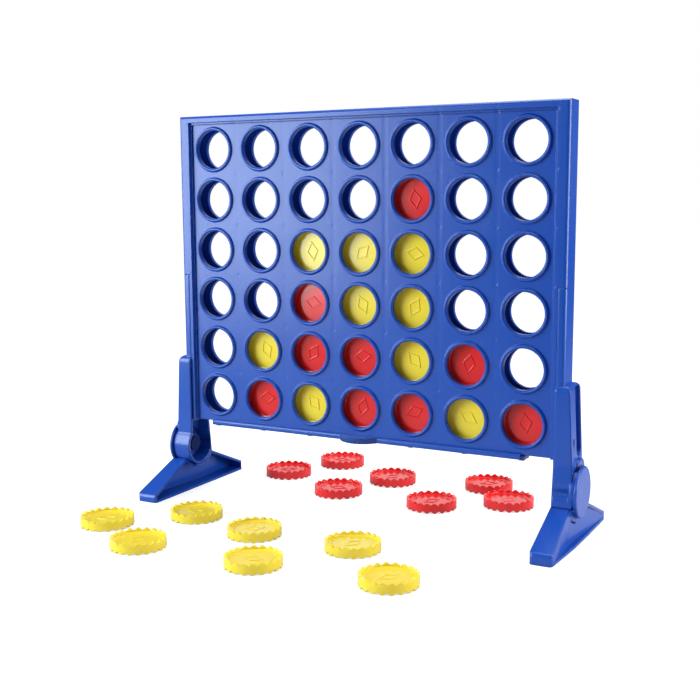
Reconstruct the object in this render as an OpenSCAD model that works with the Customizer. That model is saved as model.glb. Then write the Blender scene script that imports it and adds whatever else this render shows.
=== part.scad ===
// Giant four in a row: a blue rack of two moulded shells on legs with folding feet,
// a sliding release bar under the columns, and red and yellow discs with toothed rims.
// Millimetres. The floor is z = 0, the front looks towards -Y and +X is to the right.

/* [Grid] */
// Number of columns
columns = 7; // [7:1:9]
// Number of rows
rows = 6; // [6:1:8]
// Space between the discs of neighbouring columns
col_gap = 6.3; // [5:0.1:12]
// Radius of the round holes
hole_r = 23.4; // [20:0.1:25]
// Outer radius of the raised collar round each hole
collar_r = 28; // [26:0.1:29]
// Height of the collar above the panel
collar_h = 3; // [1.5:0.1:4]
// Thickness of each panel
panel_t = 3; // [2:0.1:4]
// Free width between the two panels
slot_w = 15; // [14:0.1:18]
// Thickness of the ribs between the columns
rib_t = 3; // [2:0.1:4]
// Panel height above the centre of the top row
top_margin = 33.3; // [31:0.1:40]
// Height of the panels' bottom edge above the floor
board_z = 93; // [88:0.5:120]
// Distance of the rack behind the middle of the whole set
board_y = 28; // [0:1:60]

/* [Border] */
// Width of the border at the sides
side_w = 14; // [12:0.5:20]
// Height of the border at the top
top_w = 8; // [6:0.5:14]
// Height of the border above the panel face
border_h = 5.6; // [4:0.1:8]
// Rounding of the border's outer edges
border_round = 4; // [2:0.1:5]
// Wall thickness of the border
wall = 2.6; // [2:0.1:3]
// Width of the border strip that shows beside each leg
strip_w = 4.3; // [4:0.1:6]
// Width of the low step along the inside of the border
step_w = 2.4; // [1.5:0.1:2.6]
// Height of that step above the panel
step_h = 2.2; // [1:0.1:3]

/* [Release bar] */
// Height of the front rail
rail_h = 6.5; // [5:0.1:9]
// Depth of the front rail
rail_d = 4.1; // [3:0.1:6]
// Rounding of the rail's long edges
rail_round = 1.6; // [0.5:0.1:1.8]
// Overlap of the rail on the panel's bottom edge
rail_rise = 1.5; // [0.5:0.1:3]
// Reach of the rail beyond the first finger
rail_over = 5; // [2:0.5:8]
// Width of each finger
finger_w = 6; // [4:0.1:6.2]
// Drop of the fingers below the rail
finger_drop = 0.7; // [0.5:0.1:3]
// Height of the retaining lips on the panels
lip_h = 1.5; // [1:0.1:2.5]
// Depth of the retaining lips
lip_d = 1.1; // [0.8:0.1:1.2]
// Thickness of the finger heads that carry the discs
head_t = 1.55; // [1.2:0.05:2.5]
// Width of the thumb tab along the rail
tab_w = 49; // [36:1:56]
// Reach of the thumb tab in front of the rail
tab_reach = 14; // [10:0.5:18]
// Number of grip grooves on the thumb tab
tab_grooves = 17; // [12:1:20]
// Radius of each grip groove
groove_r = 1; // [0.5:0.1:1.1]

/* [Discs] */
// Diameter
disc_d = 61.7; // [56:0.1:64]
// Thickness over the teeth
disc_t = 12.2; // [10:0.1:12.6]
// Number of teeth on each edge of the rim
teeth = 20; // [16:1:20]
// Height of the teeth
tooth_h = 2.8; // [1.5:0.1:3]
// Width of the gaps between the teeth
tooth_gap = 7.4; // [5:0.1:7.5]
// Thickness of the rim
rim_t = 3.2; // [2.4:0.1:4]
// Thickness of the web between the two faces
web_t = 3; // [2:0.1:3.6]
// Radius of the flat part of the faces
face_r = 23.5; // [20:0.1:25]
// Rise of the faces from the flat part to the rim
face_rise = 1.4; // [0.5:0.1:1.6]
// Length of the raised diamond on the faces
mark_l = 24; // [16:0.5:30]
// Width of the raised diamond
mark_w = 16; // [10:0.5:20]
// Opening of the diamond as a share of its outline
mark_open = 0.76; // [0.6:0.02:0.84]
// Height of the raised diamond
mark_h = 0.6; // [0.4:0.1:1]
// Turn of the discs from one column to the next, in degrees
column_turn = 53; // [0:1:90]
// Turn of the discs from one row to the next, in degrees
row_turn = 71; // [0:1:90]

/* [Legs] */
// Height of the top of the side strap
post_top = 281; // [240:1:360]
// Height of the bracket's shoulder
shoulder_z = 176; // [150:1:220]
// Rounding of the bracket's shoulder
shoulder_round = 8; // [5:0.5:8]
// Rounding of the bracket's outer edge at the shoulder
edge_round = 6.5; // [4:0.5:7]
// Depth of the bracket, front to back
bracket_d = 39.4; // [37:0.2:44]
// Width of the bracket at the pivot, out from the border strip
bracket_w = 22.7; // [20:0.1:26]
// Lean of the bracket's outer face, in from the pivot to the shoulder
bracket_lean = 6; // [3:0.1:7]
// Reach of the flared end on the stop side, from the middle
flare_y = 24.5; // [22:0.1:25]
// Height where the flare begins
flare_top = 88; // [80:1:95]
// Height of the flare's lower edge
flare_z = 42; // [41:0.2:44]
// Wall thickness of the legs and feet
leg_wall = 3; // [2.4:0.1:3.4]
// Thickness of the shelf that carries the board
shelf_t = 3; // [2:0.1:4]
// Number of stiffening ribs inside the bracket
bracket_ribs = 3; // [2:1:5]
// Height of the pivot
pivot_z = 56.5; // [52:0.5:60]
// Radius of the drum at the pivot
drum_r = 26; // [24:0.1:26.5]
// Reach of the drum's end beyond the bracket's outer face
drum_end = 2.8; // [2:0.1:4]
// Radius of the latch lug above the cap
lug_r = 14; // [12:0.5:14]
// Height of the lug's top
lug_top = 93; // [90:0.5:94]
// Distance of the lug behind the middle
lug_y = 5; // [4:0.5:5.5]
// Height of the lug above the bracket's face at the pivot
lug_h = 1.6; // [1:0.1:2]
// Near edge of the pocket in the outer face
pocket_y = -1; // [-3:0.1:4]
// Depth of the pocket in the outer face
pocket_d = 4.5; // [3:0.1:5]
// Height of the pocket's lower end
pocket_z = 95; // [94.5:0.5:105]
// Height of the latch slot
slot_z = 108; // [100:1:130]
// Length of the latch slot
slot_l = 9; // [6:0.5:14]
// Width of the latch slot
slot_b = 4; // [1.5:0.1:5]
// Distance of the latch slot in front of the middle
slot_y = 10; // [8:0.5:12]

/* [Feet] */
// Length of a foot, front to back
foot_l = 193; // [160:1:220]
// Height of the toe on the stop side
toe_a = 11.5; // [10:0.5:15]
// Height of the toe on the folding side
toe_b = 9; // [8:0.5:12]
// Rounding of the toes' corners
toe_round = 4; // [3:0.5:6]
// Bevel of the toes' upper edges
toe_bevel = 2; // [1:0.1:2.5]
// Reach of the round cap beyond the drum
cap_over = 3; // [2:0.1:3.5]
// Thickness of the round cap
cap_t = 3.4; // [3:0.1:5]
// Rounding of the cap's edge
cap_round = 1.5; // [1:0.1:2]
// Set-back of the outer face at the toe on the stop side
toe_in_a = 4.2; // [2:0.1:5]
// Set-back of the outer face at the toe on the folding side
toe_in_b = 0.8; // [0.4:0.1:2]
// Set-back of the outer face at the crease on the stop side
crease_in_a = 7.8; // [6:0.1:8.5]
// Set-back of the outer face at the crease on the folding side
crease_in_b = 4.8; // [3:0.1:6.5]
// Slant of the open inner edge on the folding side, across for each millimetre up
open_slant = 0.24; // [0.1:0.02:0.3]
// Distance of the arc slit from the edge of the cap
slit_out = 5.5; // [4:0.5:9]
// Angle at which the arc slit starts
slit_from = 232; // [225:1:240]
// Angle at which the arc slit ends
slit_to = 260; // [250:1:265]
// Width of the arc slit
slit_w = 2; // [1:0.1:2.5]
// Width of the raised rim along the sole and the folding-side slope
rim_w = 3.5; // [2.5:0.1:5]
// Distance of that rim's ends from the tips of the toes
rim_end = 6; // [5:0.1:10]
// Radius of the pivot pin
pin_r = 6; // [4:0.1:7]
// Radius of the cap's boss
boss_r = 9; // [8:0.1:10]
// Length of the cap's boss
boss_l = 4; // [3:0.1:5]
// Radius of the pin's head
pin_head_r = 10; // [9:0.1:11]
// Depth of the pin's head inside the hollow bracket
pin_recess = 8; // [6:0.5:9]
// Thickness of the pin's head
pin_head_t = 3; // [2:0.1:4]

/* [Hidden] */
// Gap between faces of pieces that are fixed together
fit = 0.2;
// Gap between faces that slide or turn past each other
run_gap = 0.4;
// Gap between a loose piece and what carries it
rest_gap = 0.3;
// Radial play of the pivot pin in its bores
pin_play = 0.05;
// Overshoot of the cutters
over = 1;

slot_half = slot_w / 2;
panel_y = slot_half + panel_t;
border_y = panel_y + border_h;
col_pitch = disc_d + col_gap;
in_x = columns * col_pitch / 2;
out_x = in_x + side_w;
strip_x = in_x + strip_w;
core_x = out_x - wall - fit;
core_y = border_y - wall - fit;
rear_low_x = core_x - wall - fit;

// Shares of the collar's width and height at the corners of its profile
side_share = 1 / 5;
shoulder_share = 7 / 10;
crown_out_share = 5 / 12;
crown_in_share = 1 / 3;
edge_share = 3 / 10;

row_pitch = disc_d + rest_gap;
lip_z = board_z + lip_h;
head_z = lip_z + rest_gap;
tray_z = head_z + head_t;
row1_z = tray_z + rest_gap + disc_d / 2;
top_in = row1_z + (rows - 1) * row_pitch + top_margin;
top_z = top_in + top_w;
rib_z = tray_z + run_gap;

step_z = post_top + fit;
web_z = step_z + wall;

bar_travel = col_pitch / 2;
stem_y = slot_half - lip_d - run_gap;
head_y = slot_half - run_gap;
rail_back = panel_y + run_gap;
rail_front = rail_back + rail_d;
rail_top = board_z + rail_rise;
rail_z = rail_top - rail_h;
rail_x0 = col_x(1) - finger_w / 2 - rail_over;
rail_x1 = in_x - bar_travel - run_gap;
arm_top = board_z - run_gap;
tab_r = (pow(tab_w / 2, 2) + pow(tab_reach, 2)) / (2 * tab_reach);
tab_half_turn = asin(tab_w / 2 / tab_r);

leg_x = strip_x + fit;
bracket_x = leg_x + bracket_w;
bracket_y = bracket_d / 2;
lean_rise = bracket_lean / (shoulder_z - pivot_z);
pocket_x = bracket_x - bracket_lean - pocket_d;
drum_x = bracket_x + drum_end;
drum_end_r = drum_r - run_gap;
pin_x = leg_x + pin_recess;
post_boss_r = boss_r + run_gap + leg_wall;
cap_x0 = drum_x + run_gap;
cap_x1 = cap_x0 + cap_t;
cap_r = drum_r + cap_over;
slit_r = cap_r + slit_out;
crease_z = pivot_z - sqrt(pow(drum_r, 2) - pow(bracket_y, 2));
cup_r = drum_r + run_gap;
crease_y = sqrt(pow(cup_r, 2) - pow(pivot_z - crease_z, 2));
slope_y = crease_y / 2;
half_l = foot_l / 2;
edge_y = flare_y + run_gap;
bend_y = edge_y + leg_wall;
edge_z = flare_z + fit;
rise_a = (edge_z - toe_a) / (half_l - edge_y);
rise_b = (crease_z - toe_b) / (half_l - crease_y);
top_a = edge_z + rise_a * (edge_y - slope_y);
top_b = crease_z + rise_b * (crease_y - slope_y);
drop_a = leg_wall * sqrt(1 + pow(rise_a, 2));
drop_b = leg_wall * sqrt(1 + pow(rise_b, 2));
rim_drop = rim_w * sqrt(1 + pow(rise_b, 2));
rim_y = half_l - rim_end;
rim_z = toe_b + rise_b * (half_l - rim_y);
pocket_r = (bracket_y - leg_wall - pocket_y) / 2;

blue_plastic = [0.10, 0.20, 0.62];
red_plastic = [0.80, 0.08, 0.10];
yellow_plastic = [0.95, 0.85, 0.05];

yellow_spots = [
  [-162.5, -92.5, 12], [-64, -117.5, 40], [59.5, -112.5, 75], [-9, -203.5, 5],
  [139.5, -187.5, 58], [-239.5, -162.5, 33], [-155, -210, 84]
];
red_spots = [
  [-128.5, 209.5, 12], [-168.5, 128.5, 40], [-24, 158.5, 75], [-62.5, 77.5, 5],
  [69, 76, 58], [102.5, 185, 33], [151.5, 124, 84]
];

function col_x(c) = (c - (columns + 1) / 2) * col_pitch;
function row_z(r) = row1_z + (r - 1) * row_pitch;
function face_x(z) = bracket_x - lean_rise * (z - pivot_z);

module on_board() {
  translate([0, board_y, 0])
    children();
}

module both_sides() {
  children();
  mirror([1, 0, 0])
    children();
}

module block(x0, x1, y0, y1, z0, z1) {
  translate([x0, y0, z0])
    cube([x1 - x0, y1 - y0, z1 - z0]);
}

// A flat shape drawn in x and y, raised from z0 to z1
module raise(z0, z1) {
  translate([0, 0, z0])
    linear_extrude(z1 - z0)
      children();
}

// A flat shape drawn in y and z, drawn out from x0 to x1
module along_x(x0, x1) {
  translate([x0, 0, 0])
    rotate([90, 0, 90])
      linear_extrude(x1 - x0)
        children();
}

// A flat shape drawn in x and z, drawn out from y0 to y1
module along_y(y0, y1) {
  translate([0, y1, 0])
    rotate([90, 0, 0])
      linear_extrude(y1 - y0)
        children();
}

module rect(x0, x1, y0, y1) {
  translate([x0, y0])
    square([x1 - x0, y1 - y0]);
}

module round_rect(x0, x1, y0, y1, r) {
  rect(x0 + r, x1 - r, y0, y1);
  rect(x0, x1, y0 + r, y1 - r);
  for (x = [x0 + r, x1 - r], y = [y0 + r, y1 - r])
    translate([x, y])
      circle(r, $fn = 48);
}

// Outer form of the closed rack, with its long edges rounded
module rack_form() {
  intersection() {
    raise(board_z, top_z)
      round_rect(-out_x, out_x, -border_y, border_y, border_round);
    along_x(-out_x, out_x)
      round_rect(-border_y, border_y, board_z - 2 * border_round, top_z, border_round);
  }
}

// Room that the leg's strap takes round the border's core
module strap_room() {
  raise(board_z - over, step_z)
    difference() {
      rect(strip_x, out_x + over, -border_y - over, border_y + over);
      rect(strip_x - over, core_x, -core_y, core_y);
    }
}

// Places a shape drawn at the face of one hole at every hole of the grid
module at_holes() {
  for (c = [1 : columns], r = [1 : rows])
    translate([col_x(c), -panel_y, row_z(r)])
      rotate([90, 0, 0])
        children();
}

// Raised collar round a hole, bevelled on both sides
module hole_collar() {
  width = collar_r - hole_r;
  rotate_extrude($fn = 64)
    polygon([
      [hole_r - over, -over], [collar_r, -over], [collar_r, 0],
      [collar_r - side_share * width, shoulder_share * collar_h],
      [collar_r - crown_out_share * width, collar_h], [hole_r + crown_in_share * width, collar_h],
      [hole_r - over, edge_share * collar_h]
    ]);
}

module hole_cut() {
  translate([0, 0, -panel_t - over])
    cylinder(h = panel_t + collar_h + 2 * over, r = hole_r, $fn = 64);
}

// Low step along the inside of the border
module border_step() {
  both_sides()
    block(in_x - step_w, in_x + wall / 2, -panel_y - step_h, -slot_half, rail_top + run_gap, top_in + wall / 2);
  block(-in_x, in_x, -panel_y - step_h, -slot_half, top_in - step_w, top_in + wall / 2);
}

module retaining_lip() {
  block(-in_x, in_x, -slot_half, -slot_half + lip_d, board_z, lip_z);
}

// Side border of the front shell: a channel that closes the end column
module front_side() {
  raise(step_z, top_z)
    difference() {
      rect(in_x, out_x, -border_y, border_y);
      rect(in_x + wall, out_x - wall, -border_y + wall, border_y + over);
      rect(in_x - over, out_x - wall, slot_half, border_y + over);
    }
  raise(board_z, web_z)
    difference() {
      rect(in_x, core_x, -border_y, core_y);
      rect(in_x + wall, core_x - wall, -core_y + wall, core_y + over);
      rect(in_x - over, core_x - wall, slot_half, core_y + over);
    }
  block(in_x, out_x, -border_y, slot_half, top_z - wall, top_z);
  block(in_x, out_x, -border_y, slot_half, step_z, web_z);
  block(core_x - wall, out_x, -border_y, border_y, step_z, web_z);
}

module front_grid() {
  color(blue_plastic)
    on_board()
      difference() {
        intersection() {
          rack_form();
          union() {
            block(-in_x - wall / 2, in_x + wall / 2, -panel_y, -slot_half, board_z, top_z);
            block(-out_x, out_x, -border_y, -slot_half, top_in, top_z);
            retaining_lip();
            border_step();
            at_holes()
              hole_collar();
            both_sides()
              front_side();
          }
        }
        both_sides()
          strap_room();
        at_holes()
          hole_cut();
        block(in_x - over, in_x + wall + over, -slot_half, slot_half, board_z - over, rib_z);
      }
}

// Side border of the rear shell, which closes the channel of the front shell
module rear_side() {
  difference() {
    union() {
      raise(board_z, top_z)
        rect(in_x, rear_low_x, slot_half, border_y);
      raise(web_z + fit, top_z)
        rect(in_x, out_x - wall - fit, slot_half, border_y);
    }
    raise(board_z - over, web_z + fit + wall)
      rect(in_x + wall, rear_low_x - wall, slot_half - over, core_y - wall);
    raise(web_z + fit + wall, top_z - wall)
      rect(in_x + wall, core_x - wall, slot_half - over, border_y - wall);
  }
}

// Rib between two columns, rounded at the mouth so that discs drop in
module column_rib() {
  block(-rib_t / 2, rib_t / 2, -slot_half, slot_half + panel_t / 2, rib_z, top_in);
  along_y(-slot_half, slot_half + panel_t / 2)
    translate([0, top_in])
      circle(rib_t / 2, $fn = 32);
}

module rear_grid() {
  color(blue_plastic)
    on_board()
      difference() {
        intersection() {
          rack_form();
          union() {
            block(-in_x - wall / 2, in_x + wall / 2, slot_half, panel_y, board_z, top_z);
            block(-core_x, core_x, slot_half, border_y, top_in, top_z);
            rotate([0, 0, 180]) {
              retaining_lip();
              border_step();
              at_holes()
                hole_collar();
            }
            both_sides()
              rear_side();
            for (c = [1 : columns - 1])
              translate([col_x(c) + col_pitch / 2, 0, 0])
                column_rib();
          }
        }
        both_sides()
          strap_room();
        rotate([0, 0, 180])
          at_holes()
            hole_cut();
      }
}

// One finger of the release bar: arm under the panel, stem between the lips, head on top
module bar_finger() {
  along_x(-finger_w / 2, finger_w / 2) {
    rect(-rail_front + rail_round, stem_y, rail_z - finger_drop, arm_top);
    rect(-stem_y, stem_y, arm_top - over, head_z + head_t / 2);
    rect(-head_y, head_y, head_z, tray_z);
  }
}

module thumb_tab() {
  centre_y = -rail_front - tab_reach + tab_r;
  raise(rail_z, rail_top)
    difference() {
      translate([0, centre_y])
        circle(tab_r, $fn = 96);
      rect(-2 * tab_r, 2 * tab_r, -rail_back - rail_d / 2, 2 * tab_r);
      for (i = [0 : tab_grooves - 1])
        translate([0, centre_y])
          rotate((i - (tab_grooves - 1) / 2) * 2 * tab_half_turn / (tab_grooves + 1))
            translate([0, -tab_r])
              circle(groove_r, $fn = 24);
    }
}

module release_bar() {
  color(blue_plastic)
    on_board() {
      along_x(rail_x0, rail_x1)
        round_rect(-rail_front, -rail_back, rail_z, rail_top, rail_round);
      thumb_tab();
      for (c = [1 : columns])
        translate([col_x(c), 0, 0])
          bar_finger();
    }
}

// A round bar on the pivot's axis, from x0 to x1
module pivot_round(r, x0, x1) {
  translate([x0, 0, pivot_z])
    rotate([0, 90, 0])
      cylinder(h = x1 - x0, r = r, $fn = 96);
}

// Side view of the bracket, its drum and its flared edge, taken in by the wall on request
module bracket_side(inset) {
  y = bracket_y - inset;
  round_rect(-y, y, pivot_z, shoulder_z - inset, shoulder_round - inset);
  polygon([[-y, flare_top], [-flare_y + inset, flare_z + inset], [0, flare_z + inset], [0, flare_top]]);
  intersection() {
    translate([0, pivot_z])
      circle(drum_r - inset, $fn = 96);
    rect(-y, drum_r, pivot_z - drum_r, pivot_z + drum_r);
  }
}

// Front view of the bracket, whose outer face leans in to a rounded shoulder
module bracket_front(inset) {
  low_z = pivot_z - 2 * drum_r;
  r = edge_round - inset;
  top = shoulder_z - inset;
  edge_x = face_x(top - r) - inset;
  polygon([
    [leg_x - drum_r, low_z], [bracket_x - inset, low_z], [bracket_x - inset, pivot_z],
    [edge_x, top - r], [edge_x - r, top], [leg_x - drum_r, top]
  ]);
  intersection() {
    translate([edge_x - r, top - r])
      circle(r, $fn = 48);
    rect(leg_x, bracket_x, top - r, shoulder_z);
  }
}

module bracket_form(inset, x0) {
  intersection() {
    along_x(x0, bracket_x - inset)
      bracket_side(inset);
    along_y(-2 * drum_r, 2 * drum_r)
      bracket_front(inset);
  }
}

// Round-topped lug on the outer face, clear of the cap that turns below it
module latch_lug() {
  difference() {
    along_x(bracket_x - leg_wall, bracket_x + lug_h) {
      translate([lug_y, lug_top - lug_r])
        circle(lug_r, $fn = 64);
      rect(lug_y - lug_r, lug_y + lug_r, pivot_z, lug_top - lug_r);
    }
    pivot_round(cap_r + run_gap, leg_x, bracket_x + lug_h + over);
  }
}

// Side view of the pocket in the bracket's outer face, round at its lower end
module pocket_side(grow) {
  centre_y = pocket_y + pocket_r;
  rect(pocket_y - grow, pocket_y + 2 * pocket_r + grow, pocket_z + pocket_r, shoulder_z - leg_wall);
  translate([centre_y, pocket_z + pocket_r])
    circle(pocket_r + grow, $fn = 48);
}

// Slim strap that carries the border's line on down to the bracket
module strap() {
  raise(shoulder_z - 2 * shoulder_round, post_top)
    intersection() {
      round_rect(-out_x, out_x, -border_y, border_y, border_round);
      rect(leg_x, out_x, -border_y, border_y);
    }
}

// Hollow of the bracket and of its drum, less the shelf, the ribs and the pocket's back
module bracket_hollow() {
  rib_pitch = (shoulder_z - board_z) / (bracket_ribs + 1);
  difference() {
    union() {
      bracket_form(leg_wall, leg_x - over);
      pivot_round(drum_end_r - leg_wall, leg_x - over, drum_x - leg_wall);
    }
    along_x(pocket_x - leg_wall, bracket_x)
      pocket_side(leg_wall);
    block(leg_x - 2 * over, bracket_x, -drum_r, drum_r, board_z - shelf_t, board_z);
    for (i = [1 : bracket_ribs])
      block(leg_x, bracket_x, -drum_r, drum_r, board_z + i * rib_pitch - wall, board_z + i * rib_pitch);
  }
}

module leg_post() {
  difference() {
    union() {
      difference() {
        union() {
          bracket_form(0, leg_x);
          pivot_round(drum_end_r, bracket_x - leg_wall, drum_x);
        }
        bracket_hollow();
      }
      strap();
      latch_lug();
      pivot_round(post_boss_r, pin_x + pin_head_t + fit, drum_x - leg_wall / 2);
    }
    raise(board_z, post_top + over)
      rect(leg_x - over, out_x - wall, -border_y + wall, border_y - wall);
    along_x(pocket_x, bracket_x + over)
      pocket_side(0);
    block(pocket_x, bracket_x + over, -slot_y - slot_b / 2, -slot_y + slot_b / 2, slot_z, slot_z + slot_l);
    pivot_round(boss_r + run_gap, drum_x - boss_l - run_gap, drum_x + over);
    pivot_round(pin_r + pin_play, pin_x, drum_x + over);
  }
}

module right_leg_post() {
  color(blue_plastic)
    on_board()
      leg_post();
}

module left_leg_post() {
  color(blue_plastic)
    on_board()
      rotate([0, 0, 180])
        leg_post();
}

// Side view of the foot: its slopes run on into the drum, which cuts the creases
module foot_side() {
  polygon([
    [-half_l, 0], [half_l, 0], [half_l, toe_b - toe_bevel], [half_l - toe_bevel, toe_b + rise_b * toe_bevel],
    [slope_y, top_b], [-slope_y, top_a], [-half_l + toe_bevel, toe_a + rise_a * toe_bevel],
    [-half_l, toe_a - toe_bevel]
  ]);
}

// The same view inside the walls, clear of the cup round the drum
module foot_side_inner() {
  end_y = half_l - leg_wall;
  difference() {
    polygon([
      [-end_y, leg_wall], [end_y, leg_wall], [end_y, toe_b + rise_b * leg_wall - drop_b],
      [slope_y, top_b - drop_b], [-slope_y, top_a - drop_a], [-end_y, toe_a + rise_a * leg_wall - drop_a]
    ]);
    translate([0, pivot_z])
      circle(cup_r + leg_wall, $fn = 96);
  }
}

// Top view of a foot with round toe corners, whose outer face bends at x1 and x2
module foot_top(x1, x2) {
  end_y = half_l - toe_round;
  toe_x1 = cap_x1 - toe_in_a;
  toe_x2 = cap_x1 - toe_in_b;
  polygon([
    [leg_x, -end_y], [leg_x + toe_round, -half_l], [toe_x1 - toe_round, -half_l], [toe_x1, -end_y],
    [x1, -bend_y], [x2, bend_y], [toe_x2, end_y], [toe_x2 - toe_round, half_l],
    [leg_x + toe_round, half_l], [leg_x, end_y]
  ]);
  intersection() {
    for (x = [leg_x + toe_round, toe_x1 - toe_round])
      translate([x, -end_y])
        circle(toe_round, $fn = 48);
    rect(leg_x - over, cap_x1, -half_l - over, -end_y);
  }
  intersection() {
    for (x = [leg_x + toe_round, toe_x2 - toe_round])
      translate([x, end_y])
        circle(toe_round, $fn = 48);
    rect(leg_x - over, cap_x1, end_y, half_l + over);
  }
}

// Top view of the hollow, open to the inner side
module foot_top_inner() {
  polygon([
    [leg_x - over, -half_l], [cap_x1 - toe_in_a - leg_wall, -half_l],
    [cap_x1 - crease_in_a - leg_wall, -bend_y], [cap_x1 - crease_in_b - leg_wall, bend_y],
    [cap_x1 - toe_in_b - leg_wall, half_l], [leg_x - over, half_l]
  ]);
}

// Rim along the sole and the folding-side slope
module foot_rim() {
  intersection() {
    along_x(leg_x + leg_wall, cap_x1 + over)
      foot_side();
    raise(-over, pivot_z)
      foot_top(cap_x1 - toe_in_b, cap_x1 - run_gap);
    along_x(leg_x, cap_x1 + over) {
      rect(-rim_y, rim_y, -over, rim_w);
      polygon([
        [slope_y, top_b + over], [slope_y, top_b - rim_drop],
        [rim_y, rim_z - rim_drop], [rim_y, rim_z + over]
      ]);
    }
  }
}

// Round cap over the pivot, with the boss that takes the pin
module pivot_cap() {
  translate([0, 0, pivot_z])
    rotate([0, 90, 0])
      rotate_extrude($fn = 96) {
        rect(0, cap_r, cap_x0, cap_x1 - cap_round);
        rect(0, cap_r - cap_round, cap_x0, cap_x1);
        translate([cap_r - cap_round, cap_x1 - cap_round])
          circle(cap_round, $fn = 32);
        rect(0, boss_r, cap_x0 - boss_l, cap_x0 + over);
      }
}

// Shallow arc slit in the outer face, below the cap on the stop side
module arc_slit() {
  far = 2 * slit_r;
  along_x(cap_x1 - crease_in_a - leg_wall / 2, cap_x1 + over)
    translate([0, pivot_z])
      intersection() {
        difference() {
          circle(slit_r + slit_w / 2, $fn = 96);
          circle(slit_r - slit_w / 2, $fn = 96);
        }
        polygon([
          [0, 0], [far * cos(slit_from), far * sin(slit_from)], [far * cos(slit_to), far * sin(slit_to)]
        ]);
      }
}

// Room for the turning drum, for the flare above the crease and for the slanted opening
module foot_room() {
  pivot_round(cup_r, leg_x - over, cap_x0);
  along_x(leg_x - over, cap_x0)
    rect(-edge_y, 0, flare_z - run_gap, pivot_z);
  along_y(slope_y, half_l + over)
    polygon([
      [leg_x - over, leg_wall - over], [leg_x, leg_wall - over],
      [leg_x + open_slant * pivot_z, leg_wall - over + pivot_z], [leg_x - over, leg_wall - over + pivot_z]
    ]);
}

module foot() {
  difference() {
    union() {
      difference() {
        union() {
          intersection() {
            along_x(leg_x, cap_x1)
              foot_side();
            union() {
              raise(-over, pivot_z)
                foot_top(cap_x1 - crease_in_a, cap_x1 - crease_in_b);
              pivot_round(cap_r - fit, leg_x, cap_x1 - cap_round);
            }
          }
          foot_rim();
        }
        intersection() {
          along_x(leg_x - over, cap_x1)
            foot_side_inner();
          raise(-over, pivot_z)
            foot_top_inner();
        }
        foot_room();
        arc_slit();
      }
      pivot_cap();
    }
    pivot_round(pin_r + pin_play, cap_x0 - boss_l - over, cap_x1 - cap_t / 2);
  }
}

module right_foot() {
  color(blue_plastic)
    on_board()
      foot();
}

module left_foot() {
  color(blue_plastic)
    on_board()
      rotate([0, 0, 180])
        foot();
}

// Pin with a flat head on the inner side, held in the boss of the cap
module pivot_pin() {
  pivot_round(pin_r, pin_x, cap_x1 - cap_t / 2 - fit);
  pivot_round(pin_head_r, pin_x, pin_x + pin_head_t);
}

module right_pivot_pin() {
  color(blue_plastic)
    on_board()
      pivot_pin();
}

module left_pivot_pin() {
  color(blue_plastic)
    on_board()
      rotate([0, 0, 180])
        pivot_pin();
}

// Half section of a disc: tall rim and thin web, with faces that rise to the rim
module disc_section() {
  rim_r = disc_d / 2 - rim_t;
  low = web_t / 2;
  mid = low + face_rise;
  high = disc_t / 2;
  polygon([
    [0, -low], [face_r, -low], [rim_r, -mid], [rim_r, -high], [disc_d / 2, -high],
    [disc_d / 2, high], [rim_r, high], [rim_r, mid], [face_r, low], [0, low]
  ]);
}

module diamond(share) {
  polygon(share / 2 * [[mark_l, 0], [0, mark_w], [-mark_l, 0], [0, -mark_w]]);
}

// Disc with pointed teeth on both edges of its rim and a raised diamond on both faces
module disc() {
  tip = disc_t / 2;
  gap_half = tooth_gap / 2 * (1 + fit / tooth_h);
  difference() {
    rotate_extrude($fn = 96)
      disc_section();
    for (i = [1 : teeth], side = [-1, 1])
      rotate(i * 360 / teeth)
        along_x(disc_d / 2 - rim_t - over, disc_d / 2 + over)
          polygon(side * [[0, tip - tooth_h], [gap_half, tip + fit], [-gap_half, tip + fit]]);
  }
  raise(-web_t / 2 - mark_h, web_t / 2 + mark_h)
    difference() {
      diamond(1);
      diamond(mark_open);
    }
}

module board_disc(c, r) {
  on_board()
    translate([col_x(c), 0, row_z(r)])
      rotate([90, column_turn * c + row_turn * r, 0])
        disc();
}

module floor_disc(spot) {
  translate([spot[0], spot[1], disc_t / 2])
    rotate(spot[2])
      disc();
}

module red_disc_c2_r1() {
  color(red_plastic)
    board_disc(2, 1);
}

module yellow_disc_c2_r2() {
  color(yellow_plastic)
    board_disc(2, 2);
}

module yellow_disc_c3_r1() {
  color(yellow_plastic)
    board_disc(3, 1);
}

module red_disc_c3_r2() {
  color(red_plastic)
    board_disc(3, 2);
}

module red_disc_c3_r3() {
  color(red_plastic)
    board_disc(3, 3);
}

module yellow_disc_c3_r4() {
  color(yellow_plastic)
    board_disc(3, 4);
}

module red_disc_c4_r1() {
  color(red_plastic)
    board_disc(4, 1);
}

module red_disc_c4_r2() {
  color(red_plastic)
    board_disc(4, 2);
}

module yellow_disc_c4_r3() {
  color(yellow_plastic)
    board_disc(4, 3);
}

module yellow_disc_c4_r4() {
  color(yellow_plastic)
    board_disc(4, 4);
}

module red_disc_c5_r1() {
  color(red_plastic)
    board_disc(5, 1);
}

module yellow_disc_c5_r2() {
  color(yellow_plastic)
    board_disc(5, 2);
}

module yellow_disc_c5_r3() {
  color(yellow_plastic)
    board_disc(5, 3);
}

module yellow_disc_c5_r4() {
  color(yellow_plastic)
    board_disc(5, 4);
}

module red_disc_c5_r5() {
  color(red_plastic)
    board_disc(5, 5);
}

module yellow_disc_c6_r1() {
  color(yellow_plastic)
    board_disc(6, 1);
}

module red_disc_c6_r2() {
  color(red_plastic)
    board_disc(6, 2);
}

module red_disc_c7_r1() {
  color(red_plastic)
    board_disc(7, 1);
}

module yellow_disc_floor_1() {
  color(yellow_plastic)
    floor_disc(yellow_spots[0]);
}

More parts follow.
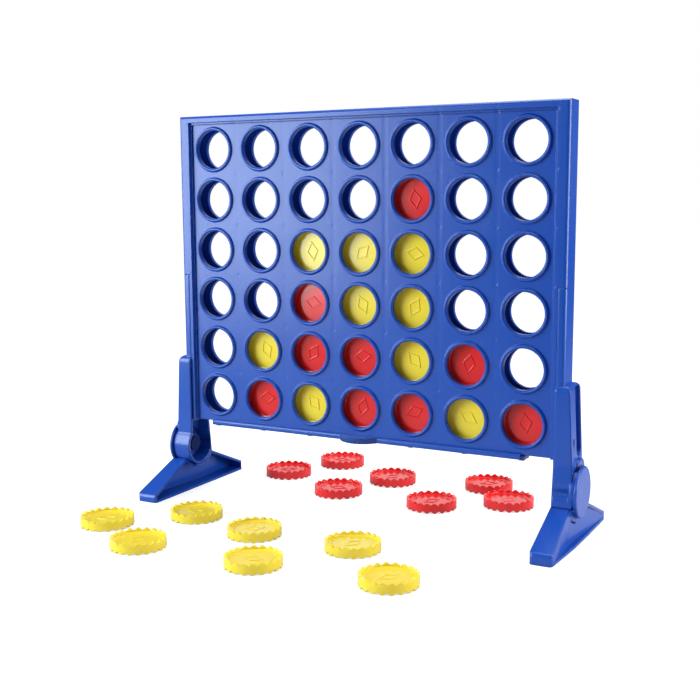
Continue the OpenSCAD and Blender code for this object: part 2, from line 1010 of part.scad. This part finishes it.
module yellow_disc_floor_2() {
  color(yellow_plastic)
    floor_disc(yellow_spots[1]);
}

module yellow_disc_floor_3() {
  color(yellow_plastic)
    floor_disc(yellow_spots[2]);
}

module yellow_disc_floor_4() {
  color(yellow_plastic)
    floor_disc(yellow_spots[3]);
}

module yellow_disc_floor_5() {
  color(yellow_plastic)
    floor_disc(yellow_spots[4]);
}

module yellow_disc_floor_6() {
  color(yellow_plastic)
    floor_disc(yellow_spots[5]);
}

module yellow_disc_floor_7() {
  color(yellow_plastic)
    floor_disc(yellow_spots[6]);
}

module red_disc_floor_1() {
  color(red_plastic)
    floor_disc(red_spots[0]);
}

module red_disc_floor_2() {
  color(red_plastic)
    floor_disc(red_spots[1]);
}

module red_disc_floor_3() {
  color(red_plastic)
    floor_disc(red_spots[2]);
}

module red_disc_floor_4() {
  color(red_plastic)
    floor_disc(red_spots[3]);
}

module red_disc_floor_5() {
  color(red_plastic)
    floor_disc(red_spots[4]);
}

module red_disc_floor_6() {
  color(red_plastic)
    floor_disc(red_spots[5]);
}

module red_disc_floor_7() {
  color(red_plastic)
    floor_disc(red_spots[6]);
}

front_grid();
rear_grid();
release_bar();
left_leg_post();
right_leg_post();
left_foot();
right_foot();
left_pivot_pin();
right_pivot_pin();
red_disc_c2_r1();
yellow_disc_c2_r2();
yellow_disc_c3_r1();
red_disc_c3_r2();
red_disc_c3_r3();
yellow_disc_c3_r4();
red_disc_c4_r1();
red_disc_c4_r2();
yellow_disc_c4_r3();
yellow_disc_c4_r4();
red_disc_c5_r1();
yellow_disc_c5_r2();
yellow_disc_c5_r3();
yellow_disc_c5_r4();
red_disc_c5_r5();
yellow_disc_c6_r1();
red_disc_c6_r2();
red_disc_c7_r1();
yellow_disc_floor_1();
yellow_disc_floor_2();
yellow_disc_floor_3();
yellow_disc_floor_4();
yellow_disc_floor_5();
yellow_disc_floor_6();
yellow_disc_floor_7();
red_disc_floor_1();
red_disc_floor_2();
red_disc_floor_3();
red_disc_floor_4();
red_disc_floor_5();
red_disc_floor_6();
red_disc_floor_7();
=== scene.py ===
# %% [markdown]
# # Giant four in a row
# This lesson dresses a finished CAD model: a blue moulded rack with seven columns of round
# holes, legs with folding feet, a release bar under the columns, and red and yellow discs
# with toothed rims. The solids come packed in one frame, in metres, with the floor at
# z = 0. Every form is already in them, so what is left for Blender is what a camera sees:
# light, plastic, and the small marks of moulding.

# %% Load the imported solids
import math

import bpy
from mathutils import Matrix, Vector

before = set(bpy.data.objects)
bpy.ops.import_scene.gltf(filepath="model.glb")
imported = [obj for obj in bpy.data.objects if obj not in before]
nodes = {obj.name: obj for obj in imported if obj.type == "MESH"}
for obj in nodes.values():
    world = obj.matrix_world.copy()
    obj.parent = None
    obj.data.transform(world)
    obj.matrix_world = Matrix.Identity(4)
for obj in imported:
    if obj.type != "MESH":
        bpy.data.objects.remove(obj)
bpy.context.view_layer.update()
scene = bpy.context.scene

# %% [markdown]
# ## Camera
# The photograph looks at the rack from the right and slightly above its middle. A camera
# could be dragged into place by eye. One placed by compass angles is easier to read and to
# correct: a target point on the rack, a distance, a turn to the right, a height angle and
# a very small roll. The focal length is given in pixels of the photograph, because that
# is how it was measured, and is turned into millimetres on the sensor.

# %% Place the camera
CAMERA_TARGET = Vector((-0.01265, 0.0178, 0.1974))
CAMERA_DISTANCE = 1.27262
CAMERA_TURN = math.radians(28.207)
CAMERA_HEIGHT = math.radians(8.149)
CAMERA_ROLL = math.radians(-0.281)
FOCAL_PIXELS = 1065.65
PHOTO_PIXELS = 700
SENSOR_WIDTH = 36.0
FARTHEST_SEEN = 60.0

back = Vector((
    math.sin(CAMERA_TURN) * math.cos(CAMERA_HEIGHT),
    -math.cos(CAMERA_TURN) * math.cos(CAMERA_HEIGHT),
    math.sin(CAMERA_HEIGHT),
))
level_right = (-back).cross(Vector((0, 0, 1))).normalized()
level_up = level_right.cross(-back)
right = level_right * math.cos(CAMERA_ROLL) + level_up * math.sin(CAMERA_ROLL)
up = level_up * math.cos(CAMERA_ROLL) - level_right * math.sin(CAMERA_ROLL)

camera_data = bpy.data.cameras.new("photo_camera")
camera_data.sensor_width = SENSOR_WIDTH
camera_data.lens = SENSOR_WIDTH * FOCAL_PIXELS / PHOTO_PIXELS
camera_data.clip_end = FARTHEST_SEEN
camera = bpy.data.objects.new("photo_camera", camera_data)
camera.matrix_world = Matrix.Translation(CAMERA_TARGET + back * CAMERA_DISTANCE) @ Matrix(
    (right, up, back)
).transposed().to_4x4()
scene.collection.objects.link(camera)
scene.camera = camera
print("camera at", [round(v, 3) for v in camera.location], "lens", round(camera_data.lens, 2))

# %% [markdown]
# ## Helpers
# Materials here are node trees. They could be clicked together in the editor, but written
# out they can be read, compared and built again. A few short functions keep that writing
# brief: place a node, join two sockets, and make the node that maps one range to another.

# %% Small helpers for node trees
def add_node(tree, kind, place, **settings):
    node = tree.nodes.new(kind)
    node.location = place
    for name, value in settings.items():
        setattr(node, name, value)
    return node


def join(tree, start, end):
    tree.links.new(start, end)


def map_range(tree, place, source, target, **settings):
    node = add_node(tree, "ShaderNodeMapRange", place, **settings)
    node.inputs["From Min"].default_value, node.inputs["From Max"].default_value = source
    node.inputs["To Min"].default_value, node.inputs["To Max"].default_value = target
    return node


print("helpers", [f.__name__ for f in (add_node, join, map_range)])

# %% [markdown]
# ## Floor
# The set stands on white paper that runs into a white background. The paper is an ordinary
# pale diffuse surface, so it takes shadows and the coloured light that the discs throw on
# it. Further out it darkens into the dim room, because plastic seen at a flat angle mirrors
# what lies beyond it, and a white floor without end would turn the narrow blue sides grey.
# More lamp light would also make the paper white, but would bleach the object with it, so
# a glow for camera rays alone lifts it, and lifts it more where less lamp light arrives.

# %% White floor
FLOOR_HALF = 14.0
SHADE_FROM_TO = (0.45, 1.1)
PAPER_NEAR_FAR = (0.58, 0.25)
GLOW_FROM_TO = (0.4, 1.2)
GLOW_NEAR_FAR = (0.60, 1.0)

floor_mesh = bpy.data.meshes.new("studio_floor")
floor_mesh.from_pydata(
    [(x * FLOOR_HALF, y * FLOOR_HALF, 0) for x, y in ((-1, -1), (1, -1), (1, 1), (-1, 1))],
    [],
    [(0, 1, 2, 3)],
)
floor_mesh.update()
floor = bpy.data.objects.new("studio_floor", floor_mesh)
scene.collection.objects.link(floor)

paper = bpy.data.materials.new("white_sweep")
paper.use_nodes = True
tree = paper.node_tree
tree.nodes.clear()
paint = add_node(tree, "ShaderNodeBsdfDiffuse", (0, 0))
glow = add_node(tree, "ShaderNodeEmission", (0, -160))
ray = add_node(tree, "ShaderNodeLightPath", (-520, 260))
where = add_node(tree, "ShaderNodeTexCoord", (-880, 0))
reach = add_node(tree, "ShaderNodeVectorMath", (-700, 0), operation="LENGTH")
brighten = map_range(tree, (-520, 0), GLOW_FROM_TO, GLOW_NEAR_FAR)
darken = map_range(tree, (-520, -280), SHADE_FROM_TO, PAPER_NEAR_FAR)
lift = add_node(tree, "ShaderNodeMath", (-260, 60), operation="MULTIPLY")
both = add_node(tree, "ShaderNodeAddShader", (200, 0))
surface = add_node(tree, "ShaderNodeOutputMaterial", (400, 0))
join(tree, where.outputs["Object"], reach.inputs[0])
join(tree, reach.outputs["Value"], brighten.inputs["Value"])
join(tree, reach.outputs["Value"], darken.inputs["Value"])
join(tree, darken.outputs[0], paint.inputs["Color"])
join(tree, brighten.outputs[0], lift.inputs[0])
join(tree, ray.outputs["Is Camera Ray"], lift.inputs[1])
join(tree, lift.outputs[0], glow.inputs["Strength"])
join(tree, paint.outputs[0], both.inputs[0])
join(tree, glow.outputs[0], both.inputs[1])
join(tree, both.outputs[0], surface.inputs["Surface"])
floor_mesh.materials.append(paper)
print("floor", FLOOR_HALF * 2, "m square")

# %% [markdown]
# ## Room
# Behind the paper the camera sees plain white, but a real studio is much darker than that
# all round. One world does both jobs: rays from the camera find white of strength 1, and
# all other rays find a dim, even room that only fills the deepest shadows.

# %% Room light, and white for the camera
ROOM_STRENGTH = 0.14
WHITE = (1, 1, 1, 1)

world = bpy.data.worlds.new("white_room")
scene.world = world
world.use_nodes = True
tree = world.node_tree
tree.nodes.clear()
ray = add_node(tree, "ShaderNodeLightPath", (-500, 260))
room = add_node(tree, "ShaderNodeBackground", (-250, 0))
room.inputs["Color"].default_value = WHITE
room.inputs["Strength"].default_value = ROOM_STRENGTH
white = add_node(tree, "ShaderNodeBackground", (-250, -160))
white.inputs["Color"].default_value = WHITE
choose = add_node(tree, "ShaderNodeMixShader", (0, 0))
sky = add_node(tree, "ShaderNodeOutputWorld", (200, 0))
join(tree, ray.outputs["Is Camera Ray"], choose.inputs["Fac"])
join(tree, room.outputs[0], choose.inputs[1])
join(tree, white.outputs[0], choose.inputs[2])
join(tree, choose.outputs[0], sky.inputs["Surface"])
print("room light", ROOM_STRENGTH)

# %% [markdown]
# ## Soft boxes
# Four soft boxes do the rest. Large flat lamps are chosen over points, because glossy
# plastic shows their mirror image and its soft edge. The large, slightly cool one stands
# left of the camera: its image lies on the left half of the board, which is why that half
# looks pale and the right half deep blue. One on the right lights the sides that face it
# and draws the bright line down the rounded border. One hangs overhead, a little behind,
# for the discs on the floor, and a weak one at the back gives their faces a sheen.

# %% Place the soft boxes
def soft_box(name, place, aim, width, height, watts, tint=(1, 1, 1)):
    lamp = bpy.data.lights.new(name, "AREA")
    lamp.shape = "RECTANGLE"
    lamp.size = width
    lamp.size_y = height
    lamp.energy = watts
    lamp.color = tint
    item = bpy.data.objects.new(name, lamp)
    item.location = place
    item.rotation_euler = (Vector(aim) - Vector(place)).to_track_quat("-Z", "Y").to_euler()
    scene.collection.objects.link(item)


COOL = (0.90, 1.0, 1.0)
soft_box("left_box", (-1.46, -1.36, 0.78), (0, 0, 0.30), 1.5, 1.5, 60, tint=COOL)
soft_box("right_box", (1.40, 0.25, 0.46), (0.25, 0, 0.28), 0.9, 0.8, 19)
soft_box("top_box", (0.10, 0.35, 2.0), (0, 0.1, 0), 1.6, 1.6, 35)
soft_box("back_box", (-0.70, 1.70, 0.90), (0, 0, 0.25), 1.2, 1.2, 4)

# %% [markdown]
# ## Finishes shared by all the plastics
# Injection-moulded plastic is never quite even. Its skin carries a very fine orange-peel
# texture from the steel, and its gloss drifts slowly from place to place. Pictures could
# be wrapped round the pieces for this, but noise worked out from the place on the object
# needs no wrapping and shows no seam. The effect is one node group with named sockets,
# built once and placed in every plastic with its own values.

# %% Moulded skin: fine relief and drifting gloss
GRAIN_DETAIL = 2.0
DRIFT_DETAIL = 3.0
DRIFT_LOW_HIGH = (0.3, 0.7)


def new_group(name, inputs, outputs):
    group = bpy.data.node_groups.new(name, "ShaderNodeTree")
    for label, kind, value in inputs:
        socket = group.interface.new_socket(label, in_out="INPUT", socket_type=kind)
        socket.default_value = value
    for label, kind in outputs:
        group.interface.new_socket(label, in_out="OUTPUT", socket_type=kind)
    start = add_node(group, "NodeGroupInput", (-900, 0))
    end = add_node(group, "NodeGroupOutput", (700, 0))
    return group, start, end


skin_group, start, end = new_group(
    "moulded_skin",
    [
        ("Grain Scale", "NodeSocketFloat", 700.0),
        ("Gloss Scale", "NodeSocketFloat", 14.0),
        ("Smoothest", "NodeSocketFloat", 0.2),
        ("Roughest", "NodeSocketFloat", 0.3),
    ],
    [("Height", "NodeSocketFloat"), ("Roughness", "NodeSocketFloat")],
)
where = add_node(skin_group, "ShaderNodeTexCoord", (-900, -300))
grain = add_node(skin_group, "ShaderNodeTexNoise", (-400, 160))
grain.inputs["Detail"].default_value = GRAIN_DETAIL
drift = add_node(skin_group, "ShaderNodeTexNoise", (-400, -160))
drift.inputs["Detail"].default_value = DRIFT_DETAIL
spread = map_range(skin_group, (100, -160), DRIFT_LOW_HIGH, (0, 1))
join(skin_group, where.outputs["Object"], grain.inputs["Vector"])
join(skin_group, where.outputs["Object"], drift.inputs["Vector"])
join(skin_group, start.outputs["Grain Scale"], grain.inputs["Scale"])
join(skin_group, start.outputs["Gloss Scale"], drift.inputs["Scale"])
join(skin_group, drift.outputs["Fac"], spread.inputs["Value"])
join(skin_group, start.outputs["Smoothest"], spread.inputs["To Min"])
join(skin_group, start.outputs["Roughest"], spread.inputs["To Max"])
join(skin_group, grain.outputs["Fac"], end.inputs["Height"])
join(skin_group, spread.outputs[0], end.inputs["Roughness"])
print("group", skin_group.name)

# %% [markdown]
# The colour of a moulding is a touch deeper where the melt flowed last. A slow, slightly
# twisted noise blends two close colours, so that no large face is one flat tone. It is a
# group of its own, because colour and relief change at different scales.

# %% Colour drift of the melt
FLOW_DETAIL = 2.0
FLOW_TWIST = 0.6

melt_group, start, end = new_group(
    "melt_colour",
    [
        ("Colour", "NodeSocketColor", (0.5, 0.5, 0.5, 1)),
        ("Deep Colour", "NodeSocketColor", (0.4, 0.4, 0.4, 1)),
        ("Scale", "NodeSocketFloat", 9.0),
        ("Amount", "NodeSocketFloat", 0.5),
    ],
    [("Colour", "NodeSocketColor")],
)
where = add_node(melt_group, "ShaderNodeTexCoord", (-900, -300))
flow = add_node(melt_group, "ShaderNodeTexNoise", (-500, -100))
flow.inputs["Detail"].default_value = FLOW_DETAIL
flow.inputs["Distortion"].default_value = FLOW_TWIST
share = add_node(melt_group, "ShaderNodeMath", (-200, -100), operation="MULTIPLY")
blend = add_node(melt_group, "ShaderNodeMix", (200, 0), data_type="RGBA")
join(melt_group, where.outputs["Object"], flow.inputs["Vector"])
join(melt_group, start.outputs["Scale"], flow.inputs["Scale"])
join(melt_group, flow.outputs["Fac"], share.inputs[0])
join(melt_group, start.outputs["Amount"], share.inputs[1])
join(melt_group, share.outputs[0], blend.inputs["Factor"])
join(melt_group, start.outputs["Colour"], blend.inputs["A"])
join(melt_group, start.outputs["Deep Colour"], blend.inputs["B"])
join(melt_group, blend.outputs["Result"], end.inputs["Colour"])
print("group", melt_group.name)

# %% [markdown]
# ## Sink marks
# The panels show where the ribs behind them pull the skin in: a faint upright band between
# two columns, and a small round mark midway between four holes, where a pin of the mould
# pushed. They are a few hundredths of a millimetre deep, too little to model. Both repeat
# with the grid, so the pattern comes from the place alone: the distance to the nearest rib
# line, and to the nearest crossing. First come the two steps that the pattern is made of.

# %% Distance to a repeating line, and the dent it leaves
def distance_to_middle(tree, value, first, pitch, height):
    moved = add_node(tree, "ShaderNodeMath", (-650, height), operation="SUBTRACT")
    moved.inputs[1].default_value = first
    share = add_node(tree, "ShaderNodeMath", (-500, height), operation="DIVIDE")
    share.inputs[1].default_value = pitch
    part = add_node(tree, "ShaderNodeMath", (-350, height), operation="FRACT")
    off = add_node(tree, "ShaderNodeMath", (-200, height), operation="SUBTRACT")
    off.inputs[1].default_value = 0.5
    length = add_node(tree, "ShaderNodeMath", (-50, height), operation="MULTIPLY")
    length.inputs[1].default_value = pitch
    join(tree, value, moved.inputs[0])
    for node, following in zip((moved, share, part, off), (share, part, off, length)):
        join(tree, node.outputs[0], following.inputs[0])
    return length.outputs[0]


def dent(tree, distance, inner_outer, height):
    fall = map_range(
        tree, (250, height), inner_outer, (-1, 0), interpolation_type="SMOOTHSTEP"
    )
    join(tree, distance, fall.inputs["Value"])
    return fall.outputs[0]


print("helpers", distance_to_middle.__name__, dent.__name__)

# %% [markdown]
# The group adds the band and the round mark. The pitches and the height of the lowest row
# are those of the holes, so the marks fall midway between them.

# %% Sink marks between the holes
COLUMN_PITCH = 0.068
ROW_PITCH = 0.062
ROW_ONE = 0.1275
BAND_INNER_OUTER = (0.0012, 0.0042)
DOT_INNER_OUTER = (0.0016, 0.0026)

marks_group, start, end = new_group(
    "sink_marks",
    [("Band", "NodeSocketFloat", 0.5), ("Dot", "NodeSocketFloat", 1.0)],
    [("Height", "NodeSocketFloat")],
)
where = add_node(marks_group, "ShaderNodeTexCoord", (-1050, -200))
split = add_node(marks_group, "ShaderNodeSeparateXYZ", (-850, -200))
join(marks_group, where.outputs["Object"], split.inputs[0])
across = distance_to_middle(marks_group, split.outputs["X"], 0.0, COLUMN_PITCH, 0)
upward = distance_to_middle(marks_group, split.outputs["Z"], ROW_ONE, ROW_PITCH, -200)
side = add_node(marks_group, "ShaderNodeMath", (100, 120), operation="ABSOLUTE")
spot = add_node(marks_group, "ShaderNodeCombineXYZ", (80, -120))
radius = add_node(marks_group, "ShaderNodeVectorMath", (170, -260), operation="LENGTH")
join(marks_group, across, side.inputs[0])
join(marks_group, across, spot.inputs["X"])
join(marks_group, upward, spot.inputs["Y"])
join(marks_group, spot.outputs[0], radius.inputs[0])
band_dent = dent(marks_group, side.outputs[0], BAND_INNER_OUTER, 120)
dot_dent = dent(marks_group, radius.outputs["Value"], DOT_INNER_OUTER, -160)
band = add_node(marks_group, "ShaderNodeMath", (420, 120), operation="MULTIPLY")
dot = add_node(marks_group, "ShaderNodeMath", (420, -160), operation="MULTIPLY")
total = add_node(marks_group, "ShaderNodeMath", (560, 0), operation="ADD")
join(marks_group, band_dent, band.inputs[0])
join(marks_group, start.outputs["Band"], band.inputs[1])
join(marks_group, dot_dent, dot.inputs[0])
join(marks_group, start.outputs["Dot"], dot.inputs[1])
join(marks_group, band.outputs[0], total.inputs[0])
join(marks_group, dot.outputs[0], total.inputs[1])
join(marks_group, total.outputs[0], end.inputs["Height"])
print("group", marks_group.name)

# %% [markdown]
# ## The plastics
# All the pieces are one kind of plastic in a few colours, so one function makes them all.
# Real mouldings have small radii where faces meet, which catch the light. They could be
# cut into every edge of the solids, but the rounded-edge node softens the shading there
# and leaves the solids as they are. The skin's relief rides on top of it as a bump, and
# the two panels take the sink marks as a second one.

# %% One function for every plastic
GLOSS_DRIFT = 0.05
EDGE_SAMPLES = 8
RELIEF_DEPTH = 0.0002
SKIN_RELIEF = 0.1
SINK_RELIEF = 0.5
PLASTIC_IOR = 1.49
USUAL_SHINE = 0.5
LIGHT_TRAVEL = (0.006, 0.004, 0.002)


def relief(tree, place, strength, height, normal):
    bump = add_node(tree, "ShaderNodeBump", place)
    bump.inputs["Strength"].default_value = strength
    bump.inputs["Distance"].default_value = RELIEF_DEPTH
    join(tree, height, bump.inputs["Height"])
    join(tree, normal, bump.inputs["Normal"])
    return bump.outputs[0]


def plastic(
    name, colour, deep, rough, edge, glow_through=0.0, marked=False, shine=USUAL_SHINE
):
    material = bpy.data.materials.new(name)
    material.use_nodes = True
    tree = material.node_tree
    shader = tree.nodes["Principled BSDF"]
    shader.location = (300, 0)
    tree.nodes["Material Output"].location = (600, 0)
    skin = add_node(tree, "ShaderNodeGroup", (-500, -200), node_tree=skin_group)
    skin.inputs["Smoothest"].default_value = rough
    skin.inputs["Roughest"].default_value = rough + GLOSS_DRIFT
    melt = add_node(tree, "ShaderNodeGroup", (-500, 200), node_tree=melt_group)
    melt.inputs["Colour"].default_value = (*colour, 1)
    melt.inputs["Deep Colour"].default_value = (*deep, 1)
    corner = add_node(tree, "ShaderNodeBevel", (-300, -500), samples=EDGE_SAMPLES)
    corner.inputs["Radius"].default_value = edge
    normal = relief(tree, (0, -300), SKIN_RELIEF, skin.outputs["Height"], corner.outputs[0])
    if marked:
        marks = add_node(tree, "ShaderNodeGroup", (-200, -700), node_tree=marks_group)
        normal = relief(tree, (150, -500), SINK_RELIEF, marks.outputs["Height"], normal)
    join(tree, melt.outputs["Colour"], shader.inputs["Base Color"])
    join(tree, skin.outputs["Roughness"], shader.inputs["Roughness"])
    join(tree, normal, shader.inputs["Normal"])
    shader.inputs["IOR"].default_value = PLASTIC_IOR
    shader.inputs["Specular IOR Level"].default_value = shine
    shader.inputs["Subsurface Weight"].default_value = glow_through
    shader.inputs["Subsurface Radius"].default_value = LIGHT_TRAVEL
    shader.inputs["Subsurface Scale"].default_value = 1.0
    print("plastic", name)
    return material


# %% [markdown]
# The legs, the feet and the bar have larger radii than the panels, so they get a blue of
# their own. The pivot pins show only as a dark round end in the shaded hollow inside the
# legs, so they get a dull, deep navy that is painted shade for that hollow. The discs let a
# little light through, which warms their thin rims.

# %% Make the plastics
BLUE = (0.008, 0.070, 0.42)
DEEP_BLUE = (0.006, 0.060, 0.38)
# The pins' navy is painted shade: darker than the blue, standing in for the shaded hollow in
# the legs.
PIN_SHADE_NAVY = (0.003, 0.018, 0.11)
PIN_DEEP_SHADE_NAVY = (0.003, 0.015, 0.09)
RED = (0.76, 0.016, 0.018)
DEEP_RED = (0.68, 0.012, 0.014)
YELLOW = (0.88, 0.68, 0.045)
DEEP_YELLOW = (0.84, 0.62, 0.030)

panel_blue = plastic("panel_blue", BLUE, DEEP_BLUE, 0.24, 0.0009, marked=True)
leg_blue = plastic("leg_blue", BLUE, DEEP_BLUE, 0.20, 0.0034)
# Pins: a dull navy as painted shade for the dark hollow inside the legs.
pin_painted_shade = plastic("pin_painted_shade", PIN_SHADE_NAVY, PIN_DEEP_SHADE_NAVY, 0.55, 0.0008, shine=0.12)
disc_red = plastic("disc_red", RED, DEEP_RED, 0.14, 0.0006, glow_through=0.14)
disc_yellow = plastic("disc_yellow", YELLOW, DEEP_YELLOW, 0.14, 0.0006, glow_through=0.14)

# %% [markdown]
# Each node's name says what it is, so the name also picks its plastic: the discs by their
# colour, the pins and the two grids by how their names end, and all the rest leg blue.

# %% Give every node its plastic
for name, item in nodes.items():
    if name.startswith("red"):
        finish = disc_red
    elif name.startswith("yellow"):
        finish = disc_yellow
    elif name.endswith("pin"):
        finish = pin_painted_shade
    else:
        finish = panel_blue if name.endswith("grid") else leg_blue
    item.data.materials.clear()
    item.data.materials.append(finish)
print("plastics on", len(nodes), "nodes")

# %% [markdown]
# The view stays on the plain Standard transform, so a colour comes out as it is written.

# %% View transform
scene.view_settings.view_transform = "Standard"
